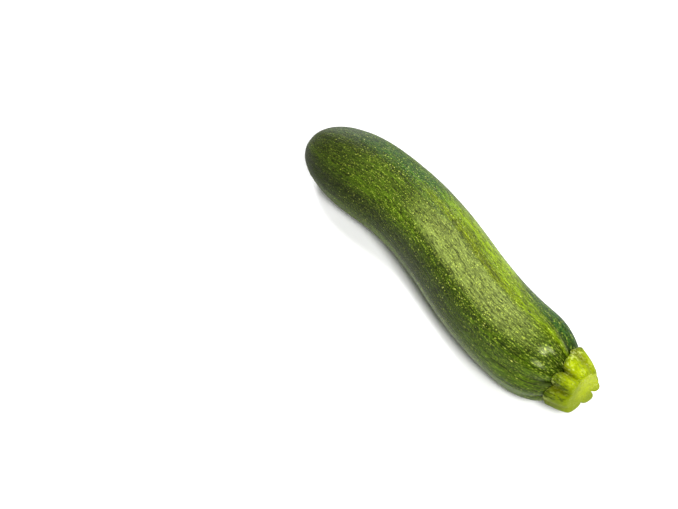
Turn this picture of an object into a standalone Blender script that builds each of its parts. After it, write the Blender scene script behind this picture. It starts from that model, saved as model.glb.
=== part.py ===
# A courgette lying on its side: the green fruit, and the lobed stub of its cut stem.
# Metres, +Z up. The fruit lies along X, blossom end at -X and stem at +X, on the plane Z = 0.
# Each piece is a turned blank whose rings are then lobed by a formula and bent along one centre line.
# Stations are distances along that centre line from the blossom tip.

from math import pi, tau

import bpy
import numpy as np

# Centre line: a gentle S seen from above, and a shallow bow with the stem lifted, seen from the side
SWING = 0.00635  # how far the S leaves its chord, to each side
SWING_WAVE = 0.184  # length of one whole S
SWING_MIDDLE = 0.1107  # station where the S crosses its chord
REST_STATION = 0.100  # lowest station, under the weight
BOW_RISE = 0.0016  # how far the blossom end bows up from the lowest station
STEM_BEND_START = 0.1275  # from here on the centre line also curves up and to one side
STEM_RISE = 0.0013  # how far that lifts the cut end
STEM_TURN = -0.0022  # and how far it takes it towards +Y

# Fruit
FRUIT_LENGTH = 0.1925
DOME_LENGTH = 0.042  # rounded blossom end
SHOULDER_LENGTH = 0.0296  # rounded stem end, its top hidden under the stem
BLOSSOM_RADIUS = 0.0214
WAIST_RADIUS = 0.0211
GIRTH_RADIUS = 0.0218  # fattest part, just behind the shoulder
WAIST_STATION = 0.060
DOME_FULLNESS = 2.2  # 2 is an ellipse, more is blunter
SHOULDER_FULLNESS = 2.32
SCAR_RADIUS = 0.0040  # dry scar that the flower leaves on the tip
SCAR_DEPTH = 0.0007
NUB_RADIUS = 0.0011
NUB_HEIGHT = 0.0008
REST_FLAT_DEPTH = 0.00035  # how much the weight flattens the underside

# Ribs run back from the gaps between the stem's lobes and fade along the fruit
RIB_DEPTH = 0.014  # share of the radius, along the body
SHOULDER_RIB_DEPTH = 0.060  # added at the shoulder
CREVICE_DEPTH = 0.170  # added close to the stem
SHOULDER_RIB_FADE = 0.026
CREVICE_FADE = 0.0075

# Stem: a squat star, with one entry here for each lobe, from +Y round over the top, as seen from the cut end
LOBE_ANGLES = (0, 39, 90, 136, 180, 225, 293, 320)  # degrees
TOE_REACHES = (0.98, 1.05, 0.95, 0.95, 1.00, 1.04, 1.00, 0.98)  # share of TOE_RADIUS
CUT_REACHES = (0.72, 0.79, 0.94, 0.98, 1.00, 1.16, 1.31, 1.27)  # share of CUT_RADIUS
LOBE_FLARES = (0.88, 0.84, 0.60, 0.60, 0.50, 0.34, 0.60, 0.60)  # 1 widens evenly from cut to toe, less sooner
TOE_GAPS = (0.90, 0.25, 1.60, 1.30, 0.35, 1.20, 1.10, 0.90)  # share of TOE_NOTCH, for the gap after each lobe
CUT_GAPS = (0.30, 0.20, 0.45, 0.45, 0.20, 1.48, 1.83, 0.40)  # and of CUT_NOTCH
STEM_HEIGHT = 0.0084  # cut face above the top of the fruit
TOE_RADIUS = 0.0159  # round the tips of the lobes, where they lie on the shoulder
CUT_RADIUS = 0.0102  # round the lobes on the cut face
TOE_NOTCH = 0.27  # depth of the gaps between the toes, as a share of the radius
CUT_NOTCH = 0.256  # and at the cut
LOBE_FULLNESS = 0.42  # less is a flatter lobe and a narrower gap
TOE_TUCK = 0.0024  # how far the toes roll in under themselves
TUCK_HEIGHT = 0.20  # share of the height over which they do
TUCK_ROUNDNESS = 2.2
CUT_DISH = 0.0009  # how far the cut face sinks in the middle
CUT_TILT = 0.157  # slope of the cut across the stem
SEAM_GAP = 0.0003  # clearance between the fruit and the stem

# Mesh
FRUIT_STEPS = 80
STEM_STEPS = 120
DOME_RINGS = 11
BODY_RINGS = 18
SHOULDER_RINGS = 13
SCAR_RINGS = (1.1, 1.0, 0.8, 0.5, 0.28, 0.14, 0.0)  # share of SCAR_RADIUS
CUT_RINGS = (0.0, 0.32, 0.60, 0.78)  # share of the cut's radius
RIM_RINGS = ((0.89, 0.985), (0.965, 0.955))  # share of the cut's radius, and of the height
FLANK_RINGS = (0.91, 0.83, 0.73, 0.62, 0.51, 0.40, 0.30, 0.22, 0.15, 0.09, 0.04, 0.0)  # share of the height
UNDERSIDE_RINGS = (0.86, 0.68, 0.48, 0.26, 0.0)  # share of the toe's radius
SCAR_CLEARANCE = 1.25  # rings of the dome stop at this share of SCAR_RADIUS
MERGE = 0.00001
FORWARD_STEP = 0.0005  # half the distance over which the centre line's direction is taken
SKIN_ROUNDS = 6  # rounds in which the ribbed shoulder's station is found for a radius

# Looks
SKIN_COLOUR = (0.060, 0.130, 0.020)
SKIN_ROUGHNESS = 0.38
STEM_COLOUR = (0.420, 0.520, 0.045)
STEM_ROUGHNESS = 0.60

CUT_STATION = FRUIT_LENGTH + STEM_HEIGHT
SHOULDER_STATION = FRUIT_LENGTH - SHOULDER_LENGTH


def spine(station):
    """Points of the centre line at these stations."""
    s = np.asarray(station, float)
    swing = -SWING * np.sin(tau * (s - SWING_MIDDLE) / SWING_WAVE)
    bow = BOW_RISE * ((s - REST_STATION) / REST_STATION) ** 2
    bend = np.clip((s - STEM_BEND_START) / (CUT_STATION - STEM_BEND_START), 0, None) ** 2
    lowest = radius_at(REST_STATION) - REST_FLAT_DEPTH
    return np.stack([s, swing + STEM_TURN * bend, lowest + bow + STEM_RISE * bend], axis=-1)


def unit(vectors):
    return vectors / np.linalg.norm(vectors, axis=-1, keepdims=True)


def spine_frame(station):
    """The centre line's points, and its sideways, upward and forward directions there."""
    forward = unit(spine(station + FORWARD_STEP) - spine(station - FORWARD_STEP))
    side = unit(np.cross([0.0, 0.0, 1.0], forward))
    return spine(station), side, np.cross(forward, side), forward


def radius_at(station):
    """Mean radius of the fruit between its two rounded ends."""
    s = np.asarray(station, float)
    back = np.clip((WAIST_STATION - s) / (WAIST_STATION - DOME_LENGTH), 0, 1)
    front = np.clip((s - WAIST_STATION) / (SHOULDER_STATION - WAIST_STATION), 0, 1)
    return (
        WAIST_RADIUS
        + (BLOSSOM_RADIUS - WAIST_RADIUS) * smooth(back)
        + (GIRTH_RADIUS - WAIST_RADIUS) * smooth(front)
    )


def smooth(t):
    return t * t * (3 - 2 * t)


def fruit_profile():
    """(radius, station) down the outer side of the fruit, from its top under the stem to the tip."""
    turn = np.linspace(0, pi / 2, SHOULDER_RINGS)
    power = 2 / SHOULDER_FULLNESS
    shoulder = zip(
        GIRTH_RADIUS * np.sin(turn) ** power,
        SHOULDER_STATION + SHOULDER_LENGTH * np.cos(turn) ** power,
    )
    stations = np.linspace(SHOULDER_STATION, DOME_LENGTH, BODY_RINGS)
    body = zip(radius_at(stations), stations)
    turn = np.linspace(pi / 2, 0, DOME_RINGS)
    power = 2 / DOME_FULLNESS
    dome = [
        (BLOSSOM_RADIUS * np.sin(a) ** power, DOME_LENGTH * (1 - np.cos(a) ** power))
        for a in turn
        if BLOSSOM_RADIUS * np.sin(a) ** power > SCAR_RADIUS * SCAR_CLEARANCE
    ]
    scar = [(share * SCAR_RADIUS, scar_station(share * SCAR_RADIUS)) for share in SCAR_RINGS]
    return list(shoulder) + list(body)[1:] + dome[1:] + scar


def scar_station(radius):
    """Station of the tip's surface: the dome, sunk into a saucer with a dry nub in it."""
    dome = DOME_LENGTH * (1 - (1 - (radius / BLOSSOM_RADIUS) ** DOME_FULLNESS) ** (1 / DOME_FULLNESS))
    saucer = SCAR_DEPTH * max(0.0, 1 - (radius / SCAR_RADIUS) ** 2)
    nub = NUB_HEIGHT * np.exp(-((radius / NUB_RADIUS) ** 2))
    return dome + saucer - nub


def turn_share(angle):
    """Which lobe an angle in radians is at: 0 on the first crest, 0.5 in the gap after it, and so on."""
    crests = np.radians(LOBE_ANGLES)
    ends = np.concatenate([[crests[-1] - tau], crests, [crests[0] + tau]])
    return np.interp(np.mod(angle, tau), ends, np.arange(-1, len(crests) + 1))


def lobe_wave(angle):
    """1 on the crest of each lobe and 0 in each gap."""
    return 0.5 + 0.5 * np.cos(tau * turn_share(angle))


def around(values, angle, first=0.0):
    """Blends from each value to the next round the stem; the first one is at this share of a turn."""
    at = np.mod(turn_share(angle) - first, len(values))
    return np.interp(at, np.arange(len(values) + 1), [*values, values[0]])


def rib_scale(angle, station):
    """Share of the mean radius that the ribbed fruit has at this angle and station."""
    gap = 1 - lobe_wave(angle)
    behind = np.clip(FRUIT_LENGTH - station, 0, None)
    shoulder = SHOULDER_RIB_DEPTH * np.exp(-((behind / SHOULDER_RIB_FADE) ** 2))
    crevice = CREVICE_DEPTH * np.exp(-((behind / CREVICE_FADE) ** 2))
    return 1 - (RIB_DEPTH + shoulder) * gap - crevice * gap**4


def shoulder_station(radius):
    """Station where the shoulder has this mean radius."""
    share = np.clip(radius / GIRTH_RADIUS, 0, 1) ** SHOULDER_FULLNESS
    return SHOULDER_STATION + SHOULDER_LENGTH * (1 - share) ** (1 / SHOULDER_FULLNESS)


def skin_station(radius, angle):
    """Station where the ribbed shoulder has this radius, at this angle."""
    station = shoulder_station(radius)
    for _ in range(SKIN_ROUNDS):
        station = shoulder_station(radius / rib_scale(angle, station))
    return station


def turned_blank(name, profile, steps):
    """A solid of revolution about Z from (radius, height) points, made by a Screw modifier."""
    mesh = bpy.data.meshes.new(name)
    points = [(radius, 0.0, height) for radius, height in profile]
    mesh.from_pydata(points, [(i, i + 1) for i in range(len(points) - 1)], [])
    blank = bpy.data.objects.new(name + "_profile", mesh)
    bpy.context.scene.collection.objects.link(blank)
    screw = blank.modifiers.new("Turn", "SCREW")
    screw.axis = "Z"
    screw.steps = screw.render_steps = steps
    screw.use_merge_vertices = True
    screw.merge_threshold = MERGE
    bpy.context.view_layer.update()
    evaluated = blank.evaluated_get(bpy.context.evaluated_depsgraph_get())
    turned = bpy.data.meshes.new_from_object(evaluated)
    bpy.data.objects.remove(blank)
    bpy.data.meshes.remove(mesh)
    turned.name = name
    return turned


def reshaped(mesh, rule):
    """Moves each vertex of a turned blank to where the rule puts its (radius, angle, height)."""
    points = np.empty(len(mesh.vertices) * 3, np.float32)
    mesh.vertices.foreach_get("co", points)
    x, y, height = points.reshape(-1, 3).T.astype(float)
    moved = rule(np.hypot(x, y), np.arctan2(y, x), height)
    mesh.vertices.foreach_set("co", moved.astype(np.float32).ravel())
    mesh.update()
    return mesh


def bent(radius, angle, station):
    """Lays a point of the straight courgette on the bent centre line."""
    centre, side, up, _ = spine_frame(station)
    across = side * np.cos(angle)[:, None] + up * np.sin(angle)[:, None]
    return centre + across * radius[:, None]


def fruit_rule(radius, angle, station):
    points = bent(radius * rib_scale(angle, station), angle, station)
    points[:, 2] = np.maximum(points[:, 2], 0)
    return points


def stem_profile():
    """(radius, height) of the stub before it is shaped, down its outer side and back along its
    underside. Radii are shares of the stub's own, times TOE_RADIUS. Heights run from 0 on the
    fruit's skin to 1 on the cut face."""
    cut = [(share * TOE_RADIUS, 1.0) for share in CUT_RINGS]
    rim = [(share * TOE_RADIUS, height) for share, height in RIM_RINGS]
    flank = [(TOE_RADIUS, height) for height in FLANK_RINGS]
    underside = [(share * TOE_RADIUS, 0.0) for share in UNDERSIDE_RINGS]
    return cut + rim + flank + underside


def flank_radius(height, angle):
    """Radius of the stub's lobes: they flare from the cut to the toes and roll in under them."""
    toe = TOE_RADIUS * around(TOE_REACHES, angle)
    cut = CUT_RADIUS * around(CUT_REACHES, angle)
    flare = (1 - height) ** around(LOBE_FLARES, angle)
    tuck = TOE_TUCK * np.clip(1 - height / TUCK_HEIGHT, 0, 1) ** TUCK_ROUNDNESS
    return cut + (toe - cut) * flare - tuck


def stem_rule(radius, angle, height):
    lobe = lobe_wave(angle) ** LOBE_FULLNESS
    at_toe = TOE_NOTCH * around(TOE_GAPS, angle, 0.5)
    at_cut = CUT_NOTCH * around(CUT_GAPS, angle, 0.5)
    notch = at_toe + (at_cut - at_toe) * height
    wide = radius / TOE_RADIUS * flank_radius(height, angle) * (1 - notch * (1 - lobe))
    skin = skin_station(wide, angle) + SEAM_GAP
    dish = CUT_DISH * np.clip(1 - (wide / CUT_RADIUS) ** 2, 0, 1)
    cut = CUT_STATION - dish + CUT_TILT * wide * np.cos(angle)
    return bent(wide, angle, skin + (cut - skin) * height)


def material(name, colour, roughness):
    made = bpy.data.materials.new(name)
    made.use_nodes = True
    shader = made.node_tree.nodes["Principled BSDF"]
    shader.inputs["Base Color"].default_value = (*colour, 1)
    shader.inputs["Roughness"].default_value = roughness
    shader.inputs["Metallic"].default_value = 0
    return made


def piece(name, mesh, surface, collection):
    mesh.materials.append(surface)
    mesh.shade_smooth()
    made = bpy.data.objects.new(name, mesh)
    collection.objects.link(made)
    return made


def stand_on_origin(pieces):
    """Moves the pieces together so that the middle of their box, at its foot, is the origin."""
    corners = np.array([v.co for made in pieces for v in made.data.vertices])
    middle = (corners.min(0) + corners.max(0)) / 2
    for made in pieces:
        made.location = (-middle[0], -middle[1], -corners[:, 2].min())


def main():
    for old in list(bpy.data.objects):
        bpy.data.objects.remove(old)
    courgette = bpy.data.collections.new("courgette")
    bpy.context.scene.collection.children.link(courgette)
    skin = material("skin", SKIN_COLOUR, SKIN_ROUGHNESS)
    stub = material("stem", STEM_COLOUR, STEM_ROUGHNESS)
    fruit_mesh = reshaped(turned_blank("fruit", fruit_profile(), FRUIT_STEPS), fruit_rule)
    stem_mesh = reshaped(turned_blank("stem", stem_profile(), STEM_STEPS), stem_rule)
    fruit = piece("fruit", fruit_mesh, skin, courgette)
    stem = piece("stem", stem_mesh, stub, courgette)
    stand_on_origin([fruit, stem])


main()
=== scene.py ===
from math import pi, radians, tau

import bpy
import numpy as np
from mathutils import Euler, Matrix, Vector


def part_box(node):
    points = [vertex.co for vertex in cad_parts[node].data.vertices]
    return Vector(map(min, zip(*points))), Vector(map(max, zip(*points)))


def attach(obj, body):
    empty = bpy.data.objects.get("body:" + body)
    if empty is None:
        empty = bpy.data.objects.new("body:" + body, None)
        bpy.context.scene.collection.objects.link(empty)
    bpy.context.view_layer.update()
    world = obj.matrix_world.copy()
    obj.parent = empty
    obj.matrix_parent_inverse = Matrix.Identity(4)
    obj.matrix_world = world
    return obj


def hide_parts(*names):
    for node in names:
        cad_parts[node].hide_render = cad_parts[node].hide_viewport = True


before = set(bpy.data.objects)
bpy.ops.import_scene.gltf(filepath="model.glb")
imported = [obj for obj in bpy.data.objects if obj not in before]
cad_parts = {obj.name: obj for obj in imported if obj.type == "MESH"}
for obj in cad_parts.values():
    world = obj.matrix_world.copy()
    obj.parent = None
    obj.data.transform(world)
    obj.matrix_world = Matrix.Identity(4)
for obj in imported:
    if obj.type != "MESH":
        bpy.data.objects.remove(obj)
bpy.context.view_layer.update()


def paint(red, green, blue):
    # a colour as it is seen on screen, from 0 to 255, as Blender's linear values
    shares = [value / 255 for value in (red, green, blue)]
    return tuple(s / 12.92 if s <= 0.04045 else ((s + 0.055) / 1.055) ** 2.4 for s in shares) + (1.0,)


# Small helper for node trees: its calls add nodes and give back their output
class Nodes:
    def __init__(self, tree):
        self.tree = tree

    def add(self, kind, inputs=(), output=0, **settings):
        made = self.tree.nodes.new(kind)
        for key, value in settings.items():
            setattr(made, key, value)
        for key, value in dict(inputs).items():
            self.feed(made.inputs[key], value)
        return made.outputs[output]

    def feed(self, socket, value):
        if isinstance(value, bpy.types.NodeSocket):
            self.tree.links.new(value, socket)
        else:
            socket.default_value = value

    def math(self, operation, *values, clamp=False):
        return self.add("ShaderNodeMath", enumerate(values), operation=operation, use_clamp=clamp)

    def product(self, first, *others):
        for value in others:
            first = self.math("MULTIPLY", first, value)
        return first

    def total(self, first, *others):
        for value in others:
            first = self.math("ADD", first, value)
        return first

    def length(self, x, y):
        return self.math("SQRT", self.total(self.product(x, x), self.product(y, y)))

    def vector(self, operation, *values):
        return self.add("ShaderNodeVectorMath", enumerate(values), operation=operation)

    def scaled(self, vector, amount):
        return self.add("ShaderNodeVectorMath", {0: vector, "Scale": amount}, operation="SCALE")

    def split(self, vector):
        return self.add("ShaderNodeSeparateXYZ", {0: vector}).node.outputs

    def read(self, name, output="Fac"):
        return self.add("ShaderNodeAttribute", output=output, attribute_name=name)

    def join(self, x, y, z):
        return self.add("ShaderNodeCombineXYZ", enumerate((x, y, z)))

    def span(self, value, low, high, toLow=0.0, toHigh=1.0, kind="SMOOTHSTEP"):
        inputs = {"Value": value, "From Min": low, "From Max": high, "To Min": toLow, "To Max": toHigh}
        return self.add("ShaderNodeMapRange", inputs, interpolation_type=kind)

    def noise(self, vector, scale, detail=2.0, roughness=0.5):
        inputs = {"Vector": vector, "Scale": scale, "Detail": detail, "Roughness": roughness}
        return self.add("ShaderNodeTexNoise", inputs)

    def cells(self, vector, scale, randomness=1.0):
        # distance from the middle of each cell, and a random share for each cell
        inputs = {"Vector": vector, "Scale": scale, "Randomness": randomness}
        distance = self.add("ShaderNodeTexVoronoi", inputs, "Distance")
        return distance, self.split(distance.node.outputs["Color"])[0]

    def blend(self, share, first, second, how="MIX"):
        inputs = {0: share, 6: first, 7: second}
        return self.add("ShaderNodeMix", inputs, 2, data_type="RGBA", blend_type=how)


# Shape of the courgette, in metres, as in the solid model. Stations are distances along the
# centre line from the blossom tip, and angles go round it from +Y over the top.
shape = {
    "swing": 0.00635,
    "swingWave": 0.184,
    "swingMiddle": 0.1107,
    "restStation": 0.100,
    "bowRise": 0.0016,
    "stemBendStart": 0.1275,
    "stemRise": 0.0013,
    "stemTurn": -0.0022,
    "fruitLength": 0.1925,
    "domeLength": 0.042,
    "shoulderLength": 0.0296,
    "blossomRadius": 0.0214,
    "waistRadius": 0.0211,
    "girthRadius": 0.0218,
    "waistStation": 0.060,
    "domeFullness": 2.2,
    "shoulderFullness": 2.32,
    "restFlat": 0.00035,
    "ribDepth": 0.014,
    "shoulderRibDepth": 0.060,
    "creviceDepth": 0.170,
    "creviceSharpness": 4,
    "shoulderRibFade": 0.026,
    "creviceFade": 0.0075,
    "lobeAngles": (0, 39, 90, 136, 180, 225, 293, 320),
}
shoulderStation = shape["fruitLength"] - shape["shoulderLength"]
mergeDistance = 0.000004
skinRounds = 8
placingAngles = 80


def smooth(t):
    return t * t * (3 - 2 * t)


def bodyRadius(station):
    s = np.asarray(station, float)
    waist = shape["waistStation"]
    back = smooth(np.clip((waist - s) / (waist - shape["domeLength"]), 0, 1))
    front = smooth(np.clip((s - waist) / (shoulderStation - waist), 0, 1))
    toBack = shape["blossomRadius"] - shape["waistRadius"]
    toFront = shape["girthRadius"] - shape["waistRadius"]
    return shape["waistRadius"] + toBack * back + toFront * front


def centreLine(station):
    s = np.asarray(station, float)
    rest = shape["restStation"]
    cutStation = shape["fruitLength"] + stem["height"]
    swing = -shape["swing"] * np.sin(tau * (s - shape["swingMiddle"]) / shape["swingWave"])
    bow = shape["bowRise"] * ((s - rest) / rest) ** 2
    bend = np.clip((s - shape["stemBendStart"]) / (cutStation - shape["stemBendStart"]), 0, None) ** 2
    lowest = bodyRadius(rest) - shape["restFlat"]
    return np.stack([s, swing + shape["stemTurn"] * bend, lowest + bow + shape["stemRise"] * bend], axis=-1)


def centreFrame(station):
    half = 0.0005
    forward = centreLine(station + half) - centreLine(station - half)
    forward /= np.linalg.norm(forward, axis=-1, keepdims=True)
    side = np.cross([0.0, 0.0, 1.0], forward)
    side /= np.linalg.norm(side, axis=-1, keepdims=True)
    return centreLine(station), side, np.cross(forward, side), forward


def lobeTurn(angle):
    # 0 on the first lobe's crest, 0.5 in the gap after it, and so on round the stem
    crests = np.radians(shape["lobeAngles"])
    ends = np.concatenate([[crests[-1] - tau], crests, [crests[0] + tau]])
    return np.interp(np.mod(angle, tau), ends, np.arange(-1, len(crests) + 1))


def lobeWave(angle):
    return 0.5 + 0.5 * np.cos(tau * lobeTurn(angle))


def around(values, angle, first=0.0):
    at = np.mod(lobeTurn(angle) - first, len(values))
    return np.interp(at, np.arange(len(values) + 1), [*values, values[0]])


def ribScale(angle, station):
    gap = 1 - lobeWave(angle)
    behind = np.clip(shape["fruitLength"] - station, 0, None)
    shoulder = shape["shoulderRibDepth"] * np.exp(-((behind / shape["shoulderRibFade"]) ** 2))
    crevice = shape["creviceDepth"] * np.exp(-((behind / shape["creviceFade"]) ** 2))
    return 1 - (shape["ribDepth"] + shoulder) * gap - crevice * gap ** shape["creviceSharpness"]


def shoulderAt(radius):
    share = np.clip(radius / shape["girthRadius"], 0, 1) ** shape["shoulderFullness"]
    return shoulderStation + shape["shoulderLength"] * (1 - share) ** (1 / shape["shoulderFullness"])


def skinAt(radius, angle):
    # station where the ribbed shoulder has this radius
    station = shoulderAt(radius)
    for _ in range(skinRounds):
        station = shoulderAt(radius / ribScale(angle, station))
    return station


def addAttribute(mesh, name, values):
    kind = "FLOAT_VECTOR" if values.ndim == 2 else "FLOAT"
    made = mesh.attributes.new(name, kind, "POINT")
    made.data.foreach_set("vector" if values.ndim == 2 else "value", values.astype(np.float32).ravel())


def geometryTree(name, inputs):
    tree = bpy.data.node_groups.new(name, "GeometryNodeTree")
    tree.interface.new_socket("Geometry", in_out="INPUT", socket_type="NodeSocketGeometry")
    for label, value in inputs.items():
        kind = "NodeSocketFloat" if isinstance(value, float) else "NodeSocketMaterial"
        tree.interface.new_socket(label, in_out="INPUT", socket_type=kind)
    tree.interface.new_socket("Geometry", in_out="OUTPUT", socket_type="NodeSocketGeometry")
    given = tree.nodes.new("NodeGroupInput")
    return tree, Nodes(tree), {s.name: s for s in given.outputs if s.name}


def attribute(n, name, kind="FLOAT"):
    made = n.tree.nodes.new("GeometryNodeInputNamedAttribute")
    made.data_type = kind
    made.inputs["Name"].default_value = name
    return next(s for s in made.outputs if s.name == "Attribute" and s.enabled)


def stored(n, body, name, value, kind="FLOAT"):
    inputs = {"Geometry": body, "Name": name, "Value": value}
    return n.add("GeometryNodeStoreNamedAttribute", inputs, data_type=kind, domain="POINT")


def centred(n, way, noise):
    # a noise that runs from -0.5 to 0.5
    return n.math("SUBTRACT", n.noise(way, *noise), 0.5)


def finished(n, body, material):
    body = n.add("GeometryNodeSetShadeSmooth", {"Geometry": body})
    body = n.add("GeometryNodeRealizeInstances", {"Geometry": body})
    body = n.add("GeometryNodeSetMaterial", {"Geometry": body, "Material": material})
    n.tree.links.new(body, n.tree.nodes.new("NodeGroupOutput").inputs["Geometry"])


def placed(name, data):
    made = bpy.data.objects.new(name, data)
    bpy.context.scene.collection.objects.link(made)
    return made


def baked(source, tree, inputs, name):
    # runs the tree on the source and keeps the result as a plain mesh
    modifier = source.modifiers.new(name, "NODES")
    modifier.node_group = tree
    for item in tree.interface.items_tree:
        if item.item_type == "SOCKET" and item.in_out == "INPUT" and item.name in inputs:
            modifier[item.identifier] = inputs[item.name]
    bpy.context.view_layer.update()
    evaluated = source.evaluated_get(bpy.context.evaluated_depsgraph_get())
    mesh = bpy.data.meshes.new_from_object(evaluated)
    bpy.data.objects.remove(source)
    mesh.name = name
    return placed(name, mesh)


def report(piece):
    print(f"{piece.name}: {len(piece.data.vertices)} points, {len(piece.data.polygons)} faces")


# Stem, in metres, with one reach, flare and gap for each lobe, from +Y over the top. A vessel is
# its turn from the lobe's crest in radians, its share of the lobe's reach, and its size. A noise is
# its scale, detail and roughness
stem = {
    "height": 0.0084,
    "toeRadius": 0.0159,
    "cutRadius": 0.0102,
    "toeReaches": (0.98, 1.05, 0.95, 0.95, 1.00, 1.04, 1.00, 0.98),
    "cutReaches": (0.72, 0.79, 0.94, 0.98, 1.00, 1.16, 1.31, 1.27),
    "lobeFlares": (0.88, 0.84, 0.60, 0.60, 0.50, 0.34, 0.60, 0.60),
    "toeGaps": (0.90, 0.25, 1.60, 1.30, 0.35, 1.20, 1.10, 0.90),
    "cutGaps": (0.30, 0.20, 0.45, 0.45, 0.20, 1.48, 1.83, 0.40),
    "toeNotch": 0.27,
    "cutNotch": 0.256,
    "lobeFullness": 0.42,
    "toeTuck": 0.0024,
    "tuckHeight": 0.20,
    "tuckRoundness": 2.2,
    "cutDish": 0.0009,
    "cutTilt": 0.157,
    "cutStart": 0.920,
    "cutSoftness": 0.065,
    "vessels": ((0.0, 0.74, 0.0011), (-0.20, 0.60, 0.0007), (0.20, 0.60, 0.0007)),
    "seamGap": 0.0003,
    "steps": 400,
    "rimStart": 0.78,
    "rimDrop": 0.09,
    "cutRings": 18,
    "rimRings": 12,
    "flankRings": 64,
    "flankSpacing": 0.85,
    "undersideRings": 6,
    "undersideStart": 0.95,
    "lumps": 0.00030,
    "lumpNoise": (330, 2),
    "fibres": 0.00016,
    "fibreNoise": (950, 3, 0.6),
    "fibreStretch": 0.14,
    "pimples": 0.00006,
    "pimpleCells": 720,
    "pimpleReach": (0.05, 0.30),
    "cutGrain": 0.00010,
    "grainNoise": (1400, 3, 0.6),
    "vesselSink": 0.00003,
    "reliefStart": (0.02, 0.10),
}
stemColours = {
    "flesh": paint(148, 165, 0),
    "lit": paint(166, 182, 14),
    # deep: darker green of the streaks, and of the painted shade on the low side
    "deep": paint(100, 116, 0),
    # colour of the painted shade in the gaps between the lobes
    "grooveShade": paint(84, 92, 0),
    "toe": paint(62, 80, 8),
    "skin": paint(30, 44, 4),
    "ripple": paint(206, 220, 110),
    "speck": paint(222, 224, 150),
    "cut": paint(140, 154, 0),
    "bright": paint(190, 202, 24),
    "vessel": paint(120, 134, 8),
}

# Fruit, in metres. Each kind of relief has its depth, its noise and where it shows
fruit = {
    "steps": 320,
    "domeRings": 64,
    "domeSpacing": 1.5,
    "bodyRings": 150,
    "shoulderRings": 50,
    "scarRadius": 0.0040,
    "scarDepth": 0.0007,
    "nubRadius": 0.0011,
    "nubHeight": 0.0008,
    "tipEnd": 0.02,
    "lumps": 0.00030,
    "lumpNoise": (34, 2),
    "flats": 0.00016,
    "flatNoise": (190, 2),
    "flatStretch": 0.10,
    "wrinkles": 0.00012,
    "wrinkleNoise": (620, 3, 0.6),
    "wrinkleStretch": 0.07,
    "wrinkleStations": (0.135, 0.180, 0.12, 1),
    "clearStations": (0.1875, 0.1795),
    "scarFibres": 0.00018,
    "fibreNoise": (1500, 3, 0.6),
    "fibreRadius": (0.0046, 0.0034),
}
skinColours = {
    "deep": paint(36, 52, 2),
    "leaf": paint(60, 82, 8),
    "tip": paint(54, 72, 10),
    "band": paint(22, 70, 18),
    # lighter olive skin with a painted sheen over it
    "oliveSheen": paint(130, 142, 72),
    "stripe": paint(122, 147, 0),
    "line": paint(128, 140, 2),
    "shadowLine": paint(70, 76, 2),
    "fleck": paint(190, 208, 76),
    "brightFleck": paint(216, 226, 110),
    # colour of the painted shade in the crevices
    "crevice": paint(14, 24, 2),
    "vein": paint(12, 24, 0),
    "bellyShade": paint(12, 22, 0),
    # painted shade on the underside
    "scar": paint(150, 134, 84),
    "scarRim": paint(70, 74, 30),
    "scuff": paint(128, 124, 66),
}

# Patches of colour, each laid over the one before: its middle, half width and soft edge in degrees
# round the fruit, how far the edge wavers, where along the skin it comes in or fades, and its share
groundPatches = (
    {"colour": "tip", "angle": 146, "wide": 22, "edge": 34, "waver": 0.4, "share": 0.65,
     "along": ((0.060, 0.012),)},
    {"colour": "band", "angle": 66, "wide": 9, "edge": 24, "waver": 0.7, "share": 0.65,
     "along": ((0.122, 0.090), (0.010, 0.040, 0.385, 1))},
    {"colour": "band", "angle": 46, "wide": 12, "edge": 14, "waver": 0.4, "share": 0.65,
     "along": ((0.150, 0.172), (0.212, 0.190))},
    # olive patch on top of the body: partly lighter skin, partly a painted sheen
    {"colour": "oliveSheen", "angle": 105, "wide": 9, "edge": 18, "waver": 0.5, "share": 0.48,
     "along": ((0.075, 0.110), (0.195, 0.165))},
)
linePatches = (
    {"colour": "shadowLine", "angle": 72, "wide": 1, "edge": 6, "waver": 0.5, "share": 0.35,
     "along": ((0.075, 0.095), (0.140, 0.110))},
    {"colour": "line", "angle": 79, "wide": 1, "edge": 9, "waver": 0.5, "share": 0.35,
     "along": ((0.070, 0.090), (0.180, 0.140))},
    # painted shade on the underside, fading out towards the stem
    {"colour": "bellyShade", "angle": 190, "wide": 30, "edge": 30, "waver": 0, "share": 0.75,
     "along": ((0.175, 0.120),)},
)

# The paler stripe narrows from its first widths to its second ones, as it turns up to the top
stripe = {
    "angle": 51,
    "turn": 32,
    "turning": (0.130, 0.192),
    "wide": (8, 2),
    "reach": (30, 15),
    "waver": 0.7,
    "start": (0.078, 0.116),
    "fade": (0.120, 0.190, 0.85, 0.35),
}

# Noises of the skin. Where a noise has a stretch, it grows with the skin and is drawn out along it.
# The range is where it starts to show and where it shows in full, with the amounts that this gives
skinNoises = {
    "waver": {"stretch": 0.14, "scale": 130, "detail": 3, "roughness": 0.6},
    "bands": {"stretch": 0.10, "scale": 150, "detail": 3, "roughness": 0.6, "range": (0.34, 0.66)},
    "patches": {"scale": 38, "detail": 3, "roughness": 0.55, "range": (0.32, 0.72)},
    "rows": {"stretch": 0.06, "scale": 430, "detail": 3, "roughness": 0.6,
             "range": (0.30, 0.70, 0.64, 1.36, "LINEAR")},
    "net": {"stretch": 0.17, "scale": 1500, "detail": 3, "roughness": 0.7,
            "range": (0.34, 0.66, 0.14, 1.86, "LINEAR")},
    "veins": {"stretch": 0.05, "scale": 1000, "detail": 3, "roughness": 0.6, "range": (0.50, 0.66)},
    "strings": {"stretch": 0.035, "offset": 0.03, "scale": 900, "detail": 2, "roughness": 0.5,
                "range": (0.40, 0.56, 0.35, 1)},
    "scuffs": {"scale": 55, "detail": 5, "roughness": 0.7, "range": (0.64, 0.74)},
    "scratches": {"stretch": 0.12, "scale": 1100, "detail": 2, "roughness": 0.5, "range": (0.45, 0.70)},
    "grain": {"scale": 1500, "detail": 3, "roughness": 0.6, "range": (0.30, 0.70, 0.38, 0.50)},
}

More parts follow.
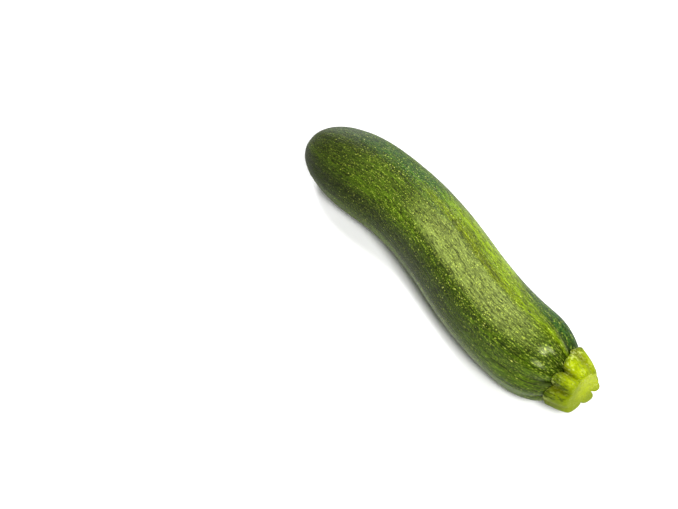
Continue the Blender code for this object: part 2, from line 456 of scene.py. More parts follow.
# Flecks of three sizes: cells in a metre of skin, the reach of a fleck in its cell, how many cells
# stay dim, how strongly the flecks show, and how far they turn from lighter skin to their colour
fleckSizes = (
    {"cells": 1800, "offset": 0.01, "reach": 0.50, "dim": 1.0, "share": 1.0, "tint": 0.45,
     "colour": "fleck"},
    {"cells": 1000, "offset": 0.02, "reach": 0.32, "dim": 1.0, "share": 0.85, "tint": 0.85,
     "colour": "fleck"},
    {"cells": 530, "offset": 0.03, "reach": 0.20, "dim": 0.8, "share": 0.9, "tint": 0.9,
     "colour": "brightFleck"},
)

# What changes the look over the length of the fruit or round it, in metres and degrees
skinLook = {
    "unrolledRadius": 0.0215,
    "leastRadius": 0.0004,
    "shoulder": (0.140, 0.186),
    "tipShade": (0.012, 0.070, 0.55, 1),
    # crown: painted shade on top of the blossom end
    "crownAngle": (92, 20, 30),
    "crownLength": (0.058, 0.036),
    "crownShade": 0.66,
    "veinShare": (0, 1, 0.25, 0.8),
    "fleckShortening": 0.62,
    "fleckShift": (0.01, 0.02),
    "fleckSpread": 0.95,
    "dimmestFleck": 0.1,
    "dashStart": 0.150,
    "dashGrowth": 3.0,
    "fleckSoftness": 0.35,
    "fleckLight": 2.4,
    "tipFlecks": (0.020, 0.075, 0.40, 1),
    # flecks dimmed on the underside as painted shade
    "shadedSideAngle": (190, 25, 38),
    "shadedSideFlecks": 0.45,
    "creviceSharpness": 4.0,
    "creviceEnd": 0.190,
    "creviceStarts": (0.176, 0.185),
    "shallowCrevice": (114, 14, 12),
    "creviceShadeShare": 0.75,
    "scuffShare": 0.30,
    "waxAngle": (116, 30, 26),
    "waxStation": (0.165, 0.179),
    "waxSmoothness": 0.19,
    "waxRelief": (0, 0.895, 1, 0.10),
    "dullTip": (0.050, 0.105, 0.16, 0),
    "fleckDullness": 0.08,
    "scuffDullness": 0.2,
    "scarDullness": 0.4,
    "grainRelief": 0.4,
    "fleckRelief": -0.5,
    "netRelief": 0.9,
    "veinRelief": -0.35,
    "bumpStrength": 0.9,
    "bumpHeight": 0.00030,
    "ior": 1.26,
    "shine": (0.90, 1.0, 0.45, 1.0),
}
scarLook = {
    "tipStation": (0.004, 0.010, 1, 0),
    "rays": 60,
    "turns": 3.0,
    "fibreNoise": (3.0, 4, 0.7),
    "ragged": 0.0030,
    "rimRadius": (0.0052, 0.0040),
    "rimShare": 0.7,
    "discRadius": (0.0042, 0.0032),
    "dryFibres": (0.35, 0.65),
}


def newMaterial(name):
    material = bpy.data.materials.new(name)
    material.use_nodes = True
    return material, material.node_tree.nodes["Principled BSDF"]


# What both surfaces share: values and colours by their names, and each noise made once
class Surface:
    def __init__(self, n, look, colours):
        self.n, self.look, self.colours = n, look, colours
        self.noises = {}

    def span(self, value, name):
        return self.n.span(value, *self.look[name])

    def lay(self, colour, share, name):
        return self.n.blend(share, colour, self.colours[name])

    def finish(self, shader, colour, rough, relief):
        look = self.look
        bump = {"Strength": look["bumpStrength"], "Distance": look["bumpHeight"], "Height": relief}
        normal = self.n.add("ShaderNodeBump", bump)
        for name, value in (("Base Color", colour), ("Roughness", rough), ("Normal", normal),
                            ("IOR", look["ior"]), ("Specular Tint", look["shine"])):
            self.n.feed(shader.inputs[name], value)


# Places on the skin that its patterns are laid by
class Skin(Surface):
    def __init__(self, n):
        super().__init__(n, skinLook, skinColours)
        self.unbent = n.read("unbent", "Vector")
        self.wave = n.read("lobeWave")
        self.arc = n.read("arc")
        self.station, self.across, self.upward = n.split(self.unbent)
        self.angle = n.math("ARCTAN2", self.upward, self.across)
        self.radius = n.length(self.across, self.upward)
        within = n.math("MAXIMUM", self.radius, skinLook["leastRadius"])
        unroll = n.math("DIVIDE", skinLook["unrolledRadius"], within)
        self.roundY, self.roundZ = n.product(self.across, unroll), n.product(self.upward, unroll)
        self.waver = n.math("SUBTRACT", self.noise("waver"), 0.5)

    def noise(self, name):
        # noises with a stretch lie on the unrolled skin, the others run through the whole fruit
        if name not in self.noises:
            made = skinNoises[name]
            way = self.unbent
            if "stretch" in made:
                way = self.n.join(self.n.product(self.arc, made["stretch"]), self.roundY, self.roundZ)
            if "offset" in made:
                way = self.n.vector("ADD", way, (0.0, made["offset"], 0.0))
            self.noises[name] = self.n.noise(way, made["scale"], made["detail"], made["roughness"])
        return self.noises[name]

    def shown(self, name):
        return self.n.span(self.noise(name), *skinNoises[name]["range"])

    def near(self, degrees, wide, edge, waver=0):
        # 1 within the half width round this angle, 0 beyond its soft edge
        turn = self.n.math("SUBTRACT", self.angle, radians(degrees))
        if waver:
            turn = self.n.total(turn, self.n.product(self.waver, waver))
        return self.n.span(self.n.math("ABSOLUTE", turn), radians(wide), radians(wide + edge), 1, 0)


def layPatches(skin, colour, patches):
    n = skin.n
    for patch in patches:
        share = skin.near(patch["angle"], patch["wide"], patch["edge"], patch["waver"])
        for stretch in patch["along"]:
            share = n.product(share, n.span(skin.arc, *stretch))
        colour = n.blend(n.product(share, patch["share"]), colour, skinColours[patch["colour"]])
    return colour


def layStripe(skin, colour):
    n = skin.n
    turned = n.span(skin.arc, *stripe["turning"])
    away = n.math("SUBTRACT", skin.angle, radians(stripe["angle"]))
    away = n.math("SUBTRACT", away, n.product(turned, radians(stripe["turn"])))
    away = n.math("ABSOLUTE", n.total(away, n.product(skin.waver, stripe["waver"])))
    wide = n.span(turned, 0, 1, *np.radians(stripe["wide"]).tolist(), "LINEAR")
    reach = n.span(turned, 0, 1, *np.radians(stripe["reach"]).tolist(), "LINEAR")
    share = n.product(n.span(away, wide, reach, 1, 0), n.span(skin.arc, *stripe["start"]))
    return skin.lay(colour, n.product(share, n.span(skin.arc, *stripe["fade"])), "stripe")


def combColour(skin, colour):
    # rows and a fine net, combed along the fruit, with painted shade on the crown of the blossom end
    n = skin.n
    shade = n.product(skin.shown("rows"), skin.shown("net"), skin.span(skin.arc, "tipShade"))
    crown = n.product(skin.near(*skinLook["crownAngle"]), skin.span(skin.arc, "crownLength"))
    shade = n.product(shade, n.span(crown, 0, 1, 1, skinLook["crownShade"], "LINEAR"))
    colour = n.blend(1.0, colour, n.join(shade, shade, shade), "MULTIPLY")

    # dark veins, mostly at the shoulder
    atShoulder = skin.span(skin.station, "shoulder")
    share = n.product(skin.shown("veins"), skin.span(atShoulder, "veinShare"))
    return skin.lay(colour, share, "vein")


def fleckShares(skin):
    # one fleck in each cell of the skin, drawn out to dashes near the stem and dimmed on the underside as
    # painted shade
    n = skin.n
    bend = n.math("MAXIMUM", n.math("SUBTRACT", skin.arc, skinLook["dashStart"]), 0)
    along = n.math("SUBTRACT", n.product(skin.arc, skinLook["fleckShortening"]),
                   n.product(bend, bend, skinLook["dashGrowth"]))
    fleckWay = n.join(along, skin.roundY, skin.roundZ)
    toShadedSide = n.span(skin.near(*skinLook["shadedSideAngle"]), 0, 1, 1, skinLook["shadedSideFlecks"], "LINEAR")
    fade = n.product(skin.span(skin.arc, "tipFlecks"), toShadedSide, skin.shown("strings"))
    shares = []
    for size in fleckSizes:
        way = n.vector("ADD", fleckWay, (size["offset"], *skinLook["fleckShift"]))
        distance, chance = n.cells(way, size["cells"], skinLook["fleckSpread"])
        dots = n.span(distance, size["reach"] * skinLook["fleckSoftness"], size["reach"], 1, 0)
        bright = n.span(chance, 0, size["dim"], skinLook["dimmestFleck"], 1, "LINEAR")
        shares.append(n.product(dots, bright, fade))
    return shares


def layFlecks(skin, colour, shares):
    n = skin.n
    for size, share in zip(fleckSizes, shares):
        tinted = n.blend(size["tint"], n.scaled(colour, skinLook["fleckLight"]), skinColours[size["colour"]])
        colour = n.blend(n.product(share, size["share"]), colour, tinted)
    return colour


def creviceShadeShare(skin):
    # painted shade between the ribs close to the stem, and only at the very end between the two upper lobes
    n = skin.n
    gap = n.math("POWER", n.math("SUBTRACT", 1, skin.wave), skinLook["creviceSharpness"])
    start = n.span(skin.near(*skinLook["shallowCrevice"]), 0, 1, *skinLook["creviceStarts"], "LINEAR")
    return n.product(gap, n.span(skin.station, start, skinLook["creviceEnd"]), skinLook["creviceShadeShare"])


def layScar(skin, colour):
    # dry disc on the blossom tip, with a ragged edge
    n = skin.n
    atTip = n.span(skin.station, *scarLook["tipStation"])
    way = n.join(n.product(skin.radius, scarLook["rays"]), n.product(skin.angle, scarLook["turns"]), 0)
    fibre = n.noise(way, *scarLook["fibreNoise"])
    edge = n.total(skin.radius, n.product(n.math("SUBTRACT", fibre, 0.5), scarLook["ragged"]))
    rim = n.product(n.span(edge, *scarLook["rimRadius"]), atTip)
    disc = n.product(n.span(edge, *scarLook["discRadius"]), atTip)
    colour = skin.lay(colour, n.product(rim, scarLook["rimShare"]), "scarRim")
    dry = n.blend(n.span(fibre, *scarLook["dryFibres"]), skinColours["scarRim"], skinColours["scar"])
    return n.blend(disc, colour, dry), disc


def makeSkin():
    material, shader = newMaterial("courgetteSkin")
    n = Nodes(material.node_tree)
    skin = Skin(n)

    # dark green with long bands and patches, an olive patch with a painted sheen, then the pale stripe, its
    # lines and painted shade on the belly
    mixed = n.product(n.total(skin.shown("bands"), skin.shown("patches")), 0.5)
    colour = n.blend(mixed, skinColours["deep"], skinColours["leaf"])
    colour = layPatches(skin, colour, groundPatches)
    colour = layStripe(skin, colour)
    colour = layPatches(skin, colour, linePatches)
    colour = combColour(skin, colour)
    flecks = fleckShares(skin)
    colour = layFlecks(skin, colour, flecks)
    # painted shade in the crevices near the stem
    colour = skin.lay(colour, creviceShadeShare(skin), "crevice")
    rubbed = n.product(skin.shown("scuffs"), skin.shown("scratches"))
    colour = skin.lay(colour, n.product(rubbed, skinLook["scuffShare"]), "scuff")
    colour, disc = layScar(skin, colour)

    # waxy finish: smoothest on top of the shoulder, drier on the tip, big flecks, scuffs and scar
    big = flecks[-1]
    wax = n.product(skin.near(*skinLook["waxAngle"]), skin.span(skin.station, "waxStation"))
    rough = n.total(skin.shown("grain"), skin.span(skin.arc, "dullTip"),
                    n.product(big, skinLook["fleckDullness"]),
                    n.product(rubbed, skinLook["scuffDullness"]),
                    n.product(disc, skinLook["scarDullness"]),
                    n.product(wax, -skinLook["waxSmoothness"]))
    relief = n.total(n.product(skin.noise("grain"), skinLook["grainRelief"]),
                     n.product(big, skinLook["fleckRelief"]),
                     n.product(skin.noise("net"), skinLook["netRelief"]),
                     n.product(skin.shown("veins"), skinLook["veinRelief"]))
    relief = n.product(relief, skin.span(wax, "waxRelief"))
    skin.finish(shader, colour, rough, relief)
    return material


# Noises of the stem, drawn out along it by their stretch
stemNoises = {
    "mottle": {"stretch": 1.0, "scale": 260, "detail": 3, "roughness": 0.55},
    "streaks": {"stretch": 0.16, "scale": 1100, "detail": 4, "roughness": 0.65},
    "fine": {"stretch": 0.30, "scale": 2300, "detail": 3, "roughness": 0.7},
    "runs": {"stretch": 0.16, "scale": 880, "detail": 3, "roughness": 0.6},
    "net": {"stretch": 0.5, "scale": 1500, "detail": 3, "roughness": 0.7},
    "pith": {"stretch": 1.0, "scale": 900, "detail": 3, "roughness": 0.5},
    "pores": {"stretch": 1.0, "scale": 1900, "detail": 3, "roughness": 0.5},
}

# Sides of the stem: the middle of each, and where it fades out and shows in full, in degrees. The low side
# is painted darker as painted shade, and the high side paler as painted light
# The other values are where a noise, a height from skin to cut (0 to 1) or a radius in metres
# starts to show and shows in full, with the amounts that this gives
stemLook = {
    "lowSide": (202, 95, 52),
    "highSide": (42, 105, 45),
    "betweenToes": (160, 32, 13),
    "mottle": (0.35, 0.65),
    "streaks": (0.44, 0.66, 0, 0.70),
    "fineStreaks": (0.50, 0.64, 0, 0.45),
    # painted shade on the low side of the flank
    "lowSideShade": 0.6,
    "toeReach": 0.34,
    "lowToeReach": 0.75,
    "toeStreaks": (0.25, 0.60, 0.4, 1.5),
    "mostToe": 0.9,
    "runs": (0.45, 0.57),
    "runHeight": (0, 1, 0.45, 1.05, "LINEAR"),
    "runFade": (-0.10, 0.40),
    "runShare": (0, 1, 0.2, 0.85),
    # painted shade in the gaps between the lobes
    "gapSharpness": 2.2,
    "gapHeight": (0.95, 0.35, 0.3, 1),
    "gapShare": 0.9,
    "rippleWay": (0.0040, 0.22, 0.22),
    "rippleScale": 2600,
    "ripples": (0.54, 0.66),
    "rippleHeight": (0.55, 0.15),
    "rippleShare": (0, 1, 0.6, 0.25),
    "net": (0.50, 0.66),
    "netShare": (0, 1, 0.12, 0.38),
    "netPatches": (0.40, 0.62, 0.15, 1),
    "cutDulling": (0.50, 0.92, 0, 0.14),
    "edgeStart": (0.80, 0.88),
    "edgeEnd": (0.965, 0.93),
    "edgeStreaks": (0.35, 0.6, 0.1, 0.6),
    "rayLength": 130,
    "rayCount": 6.0,
    "raySlice": 0.3,
    "rayNoise": (2.6, 4, 0.65),
    "rays": (0.40, 0.70, 0, 0.8),
    "pith": (0.50, 0.70, 0, 0.5),
    "vesselShare": 0.10,
    # painted shade on the cut away from the high side
    "lowCutShade": (0.002, 0.009, 0.1, 0.75),
    "fineCut": (0.50, 0.64, 0, 0.30),
    "cutNet": (0.001, 0.007, 0.3, 1.0),
    "roughness": (0.3, 0.7, 0.56, 0.72),
    "streakRelief": 0.6,
    "poreRelief": 0.5,
    "bumpStrength": 0.6,
    "bumpHeight": 0.00016,
    "ior": 1.22,
    "shine": (1.0, 1.0, 0.2, 1.0),
    "glow": 0.12,
    "glowRadius": (0.9, 1.0, 0.25),
    "glowDepth": 0.0016,
}


# Places on the stem that its patterns are laid by
class Stub(Surface):
    def __init__(self, n):
        super().__init__(n, stemLook, stemColours)
        self.wave, self.height = n.read("lobeWave"), n.read("height")
        self.onCut, self.vessel = n.read("onCut"), n.read("vessel")
        self.along, self.across, self.upward = n.split(n.read("unbent", "Vector"))
        self.angle = n.math("ARCTAN2", self.upward, self.across)
        self.radius = n.length(self.across, self.upward)
        self.low = self.side(n.math("FLOORED_MODULO", self.angle, tau), "lowSide")
        self.high = self.side(self.angle, "highSide")
        # pale specks, more of them on the high side as painted light
        self.net = n.product(self.span(self.noise("net"), "net"), self.span(self.high, "netShare"))

    def side(self, angle, name):
        middle, far, close = np.radians(stemLook[name]).tolist()
        away = self.n.math("ABSOLUTE", self.n.math("SUBTRACT", angle, middle))
        return self.n.span(away, far, close)

    def noise(self, name):
        if name not in self.noises:
            made = stemNoises[name]
            way = self.n.join(self.n.product(self.along, made["stretch"]), self.across, self.upward)
            self.noises[name] = self.n.noise(way, made["scale"], made["detail"], made["roughness"])
        return self.noises[name]


def flankColour(stub):
    # fleshy, and streaked along the lobes
    n, height, streaks = stub.n, stub.height, stub.noise("streaks")
    mottle = stub.span(stub.noise("mottle"), "mottle")
    colour = n.blend(mottle, stemColours["flesh"], stemColours["lit"])
    colour = stub.lay(colour, stub.span(streaks, "streaks"), "deep")
    colour = stub.lay(colour, stub.span(stub.noise("fine"), "fineStreaks"), "deep")

    # greener toes, which reach higher on the low side as painted shade, and painted shade over the low side
    reach = n.total(n.product(stub.low, stemLook["lowToeReach"]), stemLook["toeReach"])
    toe = n.math("SUBTRACT", 1, n.math("DIVIDE", height, reach), clamp=True)
    toe = n.product(toe, stub.span(streaks, "toeStreaks"))
    colour = stub.lay(colour, n.product(stub.low, stemLook["lowSideShade"]), "deep")
    colour = stub.lay(colour, n.math("MINIMUM", toe, stemLook["mostToe"]), "toe")

    # skin that runs up between the low toes in streaks
    between = stub.span(stub.side(stub.angle, "betweenToes"), "runHeight")
    runs = n.product(stub.span(stub.noise("runs"), "runs"),
                     stub.span(n.math("SUBTRACT", between, height), "runFade"))
    colour = stub.lay(colour, n.product(runs, stub.span(stub.low, "runShare")), "skin")

    # painted shade in the gaps between the lobes, and pale ripples across the toes
    gap = n.math("POWER", n.math("SUBTRACT", 1, stub.wave), stemLook["gapSharpness"])
    gap = n.product(gap, stub.span(height, "gapHeight"), stemLook["gapShare"])
    colour = stub.lay(colour, gap, "grooveShade")
    places = (height, stub.across, stub.upward)
    way = n.join(*(n.product(place, share) for place, share in zip(places, stemLook["rippleWay"])))
    ripple = stub.span(n.noise(way, stemLook["rippleScale"]), "ripples")
    ripple = n.product(ripple, stub.span(height, "rippleHeight"))
    ripple = n.product(ripple, stub.span(stub.low, "rippleShare"))
    colour = stub.lay(colour, ripple, "ripple")

    # pale specks in a mesh, more on the high side as painted light, and a thin green edge left of the skin
    # round the cut
    specks = n.product(stub.net, stub.span(stub.noise("mottle"), "netPatches"))
    colour = stub.lay(colour, specks, "speck")
    colour = stub.lay(colour, stub.span(height, "cutDulling"), "deep")
    edge = n.product(stub.span(height, "edgeStart"), stub.span(height, "edgeEnd"))
    return stub.lay(colour, n.product(edge, stub.span(streaks, "edgeStreaks")), "deep")


def cutColour(stub):
    # pale fibres from the middle out, a faint ring of vessels, painted shade away from the high side, and
    # the mesh of specks
    n = stub.n
    outward = n.product(stub.radius, stemLook["rayLength"])
    turned = n.product(stub.angle, stemLook["rayCount"])
    rays = n.noise(n.join(outward, turned, stemLook["raySlice"]), *stemLook["rayNoise"])
    colour = n.blend(stub.span(rays, "rays"), stemColours["cut"], stemColours["bright"])
    colour = stub.lay(colour, stub.span(stub.noise("pith"), "pith"), "deep")
    colour = stub.lay(colour, n.product(stub.vessel, stemLook["vesselShare"]), "vessel")
    low = n.product(n.math("SUBTRACT", 1, stub.high), stub.span(stub.radius, "lowCutShade"))
    colour = stub.lay(colour, low, "deep")
    colour = stub.lay(colour, stub.span(stub.noise("fine"), "fineCut"), "deep")
    specks = n.product(stub.net, stub.span(stub.radius, "cutNet"))
    return stub.lay(colour, specks, "speck")


def makeStub():
    material, shader = newMaterial("cutStem")
    n = Nodes(material.node_tree)
    stub = Stub(n)
    colour = n.blend(stub.onCut, flankColour(stub), cutColour(stub))
    rough = stub.span(stub.noise("mottle"), "roughness")
    relief = n.total(n.product(stub.noise("streaks"), stemLook["streakRelief"]),
                     n.product(stub.noise("pores"), stemLook["poreRelief"]))
    stub.finish(shader, colour, rough, relief)
    shader.inputs["Subsurface Weight"].default_value = stemLook["glow"]
    shader.inputs["Subsurface Radius"].default_value = stemLook["glowRadius"]
    shader.inputs["Subsurface Scale"].default_value = stemLook["glowDepth"]
    return material


def fruitLine():
    # one point for each ring of the fruit, from the blossom tip to the top under the stem
    turn = pi / 2 * np.linspace(0, 1, fruit["domeRings"]) ** fruit["domeSpacing"]
    power = 2 / shape["domeFullness"]
    radii = [shape["blossomRadius"] * np.sin(turn) ** power]
    stations = [shape["domeLength"] * (1 - np.cos(turn) ** power)]
    body = np.linspace(shape["domeLength"], shoulderStation, fruit["bodyRings"])[1:]
    radii.append(bodyRadius(body))
    stations.append(body)
    turn = pi / 2 * (1 - np.linspace(0, 1, fruit["shoulderRings"]))[1:]
    power = 2 / shape["shoulderFullness"]
    radii.append(shape["girthRadius"] * np.sin(turn) ** power)
    stations.append(shoulderStation + shape["shoulderLength"] * np.cos(turn) ** power)
    return np.concatenate(radii), np.concatenate(stations)


def fruitBase():
    # the centre line, with what each of its rings needs
    radii, stations = fruitLine()
    centre, side, up, forward = centreFrame(stations)
    mesh = bpy.data.meshes.new("fruitLine")
    mesh.from_pydata(centre.tolist(), [(i, i + 1) for i in range(len(centre) - 1)], [])
    arc = np.concatenate([[0.0], np.cumsum(np.hypot(np.diff(radii), np.diff(stations)))])
    for name, values in (("station", stations), ("arc", arc), ("ringRadius", radii), ("centre", centre),
                         ("side", side), ("up", up), ("forward", forward)):
        addAttribute(mesh, name, values)
    return placed("fruitLine", mesh)


def lobeCurve(n, share):
    # share of a turn in, share of the lobes passed out
    made = n.tree.nodes.new("ShaderNodeFloatCurve")
    curve = made.mapping.curves[0]
    places = np.sort([0.0, 1.0] + [a / 360 for a in shape["lobeAngles"]])
    count = len(shape["lobeAngles"])
    heights = (lobeTurn(np.clip(places * tau, 0, tau - 1e-9)) + 1) / (count + 1)
    while len(curve.points) < len(places):
        curve.points.new(0.5, 0.5)
    for point, place, height in zip(curve.points, places, heights):
        point.location = (place, height)
        point.handle_type = "VECTOR"
    made.mapping.update()
    n.feed(made.inputs["Value"], share)
    return n.math("SUBTRACT", n.product(made.outputs[0], count + 1), 1)


def fruitRings(n, given):
    # rings round the centre line, lobed by the ribs and the crevices
    circle = n.add("GeometryNodeCurvePrimitiveCircle", {"Resolution": fruit["steps"], "Radius": 1.0})
    circle = stored(n, circle, "turn", n.add("GeometryNodeSplineParameter"))
    curve = n.add("GeometryNodeMeshToCurve", {0: given["Geometry"]})
    loft = n.add("GeometryNodeCurveToMesh", {"Curve": curve, "Profile Curve": circle})
    turn, station, ringRadius = (attribute(n, name) for name in ("turn", "station", "ringRadius"))
    wave = n.math("COSINE", n.product(lobeCurve(n, turn), tau))
    wave = n.math("MULTIPLY_ADD", wave, 0.5, 0.5)
    gap = n.math("SUBTRACT", 1, wave)
    behind = n.math("MAXIMUM", n.math("SUBTRACT", shape["fruitLength"], station), 0)

    def fading(depth, reach):
        t = n.math("DIVIDE", behind, given[reach])
        return n.product(given[depth], n.math("EXPONENT", n.product(t, t, -1)))

    ribs = n.total(given["Rib depth"], fading("Shoulder rib depth", "Shoulder rib fade"))
    crevice = n.math("POWER", gap, shape["creviceSharpness"])
    crevice = n.product(fading("Crevice depth", "Crevice fade"), crevice)
    scale = n.math("SUBTRACT", n.math("SUBTRACT", 1, n.product(ribs, gap)), crevice)
    radius = n.product(ringRadius, scale)
    angle = n.product(turn, tau)
    cosine, sine = n.math("COSINE", angle), n.math("SINE", angle)
    names = ("centre", "side", "up", "forward")
    centre, side, up, forward = (attribute(n, name, "FLOAT_VECTOR") for name in names)
    out = n.vector("ADD", n.scaled(side, cosine), n.scaled(up, sine))

    # saucer and nub of the scar, pushed in and out along the centre line
    saucer = n.math("DIVIDE", ringRadius, given["Scar radius"])
    saucer = n.math("MAXIMUM", n.math("SUBTRACT", 1, n.product(saucer, saucer)), 0)
    nub = n.math("DIVIDE", ringRadius, given["Nub radius"])
    nub = n.math("EXPONENT", n.product(nub, nub, -1))
    sink = n.math("SUBTRACT", n.product(saucer, given["Scar depth"]), n.product(nub, given["Nub height"]))
    sink = n.product(sink, n.math("LESS_THAN", station, fruit["tipEnd"]))
    place = n.vector("ADD", centre, n.scaled(out, radius))
    place = n.vector("ADD", place, n.scaled(forward, sink))
    body = n.add("GeometryNodeSetPosition", {"Geometry": loft, "Position": place})

    unbent = n.join(station, n.product(radius, cosine), n.product(radius, sine))
    body = stored(n, body, "unbent", unbent, "FLOAT_VECTOR")
    body = stored(n, body, "lobeWave", wave)
    return n.add("GeometryNodeMergeByDistance", {"Geometry": body, "Distance": mergeDistance})


def fruitRelief(n, given, body):
    # uneven growth: slow lumps, long flats and fine wrinkles at the shoulder, none under the stem
    unbent = attribute(n, "unbent", "FLOAT_VECTOR")
    x, y, z = n.split(unbent)
    flatWay = n.join(n.product(x, fruit["flatStretch"]), y, z)
    wrinkleWay = n.join(n.product(x, fruit["wrinkleStretch"]), y, z)
    lumps = n.product(centred(n, unbent, fruit["lumpNoise"]), given["Lumps"])
    flats = n.product(centred(n, flatWay, fruit["flatNoise"]), given["Flats"])
    wrinkles = n.product(centred(n, wrinkleWay, fruit["wrinkleNoise"]), given["Wrinkles"])
    wrinkles = n.product(wrinkles, n.span(x, *fruit["wrinkleStations"]))
    relief = n.product(n.total(lumps, flats, wrinkles), 2, n.span(x, *fruit["clearStations"]))
    onScar = n.span(attribute(n, "ringRadius"), *fruit["fibreRadius"])
    onScar = n.product(onScar, n.math("LESS_THAN", x, fruit["tipEnd"]))
    fibres = n.product(centred(n, unbent, fruit["fibreNoise"]), onScar, given["Scar fibres"])
    offset = n.scaled(n.add("GeometryNodeInputNormal"), n.total(relief, fibres))
    return n.add("GeometryNodeSetPosition", {"Geometry": body, "Offset": offset})


def makeFruit(material, shift):
    inputs = {
        "Rib depth": shape["ribDepth"],
        "Shoulder rib depth": shape["shoulderRibDepth"],
        "Shoulder rib fade": shape["shoulderRibFade"],
        "Crevice depth": shape["creviceDepth"],
        "Crevice fade": shape["creviceFade"],
        "Scar radius": fruit["scarRadius"],
        "Scar depth": fruit["scarDepth"],
        "Nub radius": fruit["nubRadius"],
        "Nub height": fruit["nubHeight"],
        "Lumps": fruit["lumps"],
        "Flats": fruit["flats"],
        "Wrinkles": fruit["wrinkles"],
        "Scar fibres": fruit["scarFibres"],
        "Material": material,
    }
    tree, n, given = geometryTree("fruitRings", inputs)
    body = fruitRelief(n, given, fruitRings(n, given))

    # flat spot, where it lies
    x, y, z = n.split(n.add("GeometryNodeInputPosition"))
    resting = n.join(x, y, n.math("MAXIMUM", z, 0))
    body = n.add("GeometryNodeSetPosition", {"Geometry": body, "Position": resting})
    body = n.add("GeometryNodeTransform", {"Geometry": body, "Translation": tuple(shift)})
    finished(n, body, given["Material"])
    piece = baked(fruitBase(), tree, inputs, "courgetteFruit")
    for name in ("turn", "station", "ringRadius", "centre", "side", "up", "forward"):
        old = piece.data.attributes.get(name)
        if old:
            piece.data.attributes.remove(old)
    report(piece)
    return piece


def stemPoints(share, angle, height):
    # share runs out from the middle, height from the skin to the cut
    toe = stem["toeRadius"] * around(stem["toeReaches"], angle)
    cut = stem["cutRadius"] * around(stem["cutReaches"], angle)
    flare = (1 - height) ** around(stem["lobeFlares"], angle)
    tuck = stem["toeTuck"] * np.clip(1 - height / stem["tuckHeight"], 0, 1) ** stem["tuckRoundness"]
    flank = cut + (toe - cut) * flare - tuck
    lobe = lobeWave(angle) ** stem["lobeFullness"]
    atToe = stem["toeNotch"] * around(stem["toeGaps"], angle, 0.5)
    atCut = stem["cutNotch"] * around(stem["cutGaps"], angle, 0.5)
    notch = atToe + (atCut - atToe) * height
    wide = share * flank * (1 - notch * (1 - lobe))
    skin = skinAt(wide, angle) + stem["seamGap"]
    dish = stem["cutDish"] * np.clip(1 - (wide / stem["cutRadius"]) ** 2, 0, 1)
    top = shape["fruitLength"] + stem["height"] - dish + stem["cutTilt"] * wide * np.cos(angle)
    station = skin + (top - skin) * height
    centre, side, up, _ = centreFrame(station)
    out = side * np.cos(angle)[:, None] + up * np.sin(angle)[:, None]
    unbent = np.stack([station, wide * np.cos(angle), wide * np.sin(angle)], axis=-1)
    return centre + out * wide[:, None], unbent


def vesselsAt(unbent):
    # 1 in the middle of each vessel of the cut
    made = np.zeros(len(unbent))
    for crest, wide in zip(np.radians(shape["lobeAngles"]), stem["cutReaches"]):
        for turnBy, share, size in stem["vessels"]:
            far = share * wide * stem["cutRadius"]
            x, y = far * np.cos(crest + turnBy), far * np.sin(crest + turnBy)
            away = np.hypot(unbent[:, 1] - x, unbent[:, 2] - y)
            made = np.maximum(made, np.exp(-((away / size) ** 2)))
    return made


def stemBase(shift):
    # rings from the middle of the cut face, over its edge, down the flank and back underneath
    flat, drop, steps = stem["rimStart"], stem["rimDrop"], stem["steps"]
    rings = [(s, 1.0) for s in np.linspace(0, flat, stem["cutRings"])]
    for t in np.linspace(0, pi / 2, stem["rimRings"])[1:]:
        rings.append((flat + (1 - flat) * np.sin(t), 1.0 - drop * (1 - np.cos(t))))
    down = np.linspace(0, 1, stem["flankRings"])[1:] ** stem["flankSpacing"]
    rings += [(1.0, h) for h in (1 - drop) * (1 - down)]
    rings += [(s, 0.0) for s in np.linspace(stem["undersideStart"], 0, stem["undersideRings"])]
    share, height = (np.repeat(values, steps) for values in np.array(rings).T)
    angle = np.tile(np.arange(steps) / steps * tau, len(rings))
    points, unbent = stemPoints(share, angle, height)
    faces = []
    for ring in range(len(rings) - 1):
        for step in range(steps):
            a, b = ring * steps + step, ring * steps + (step + 1) % steps
            faces.append((a, a + steps, b + steps, b))
    mesh = bpy.data.meshes.new("stemRings")
    mesh.from_pydata((points + np.array(shift)).tolist(), [], faces)
    onCut = smooth(np.clip((height - stem["cutStart"]) / stem["cutSoftness"], 0, 1))
    for name, values in (("unbent", unbent), ("lobeWave", lobeWave(angle)), ("height", height),
                         ("onCut", onCut), ("vessel", vesselsAt(unbent) * onCut)):
        addAttribute(mesh, name, values)
    return placed("stemRings", mesh)


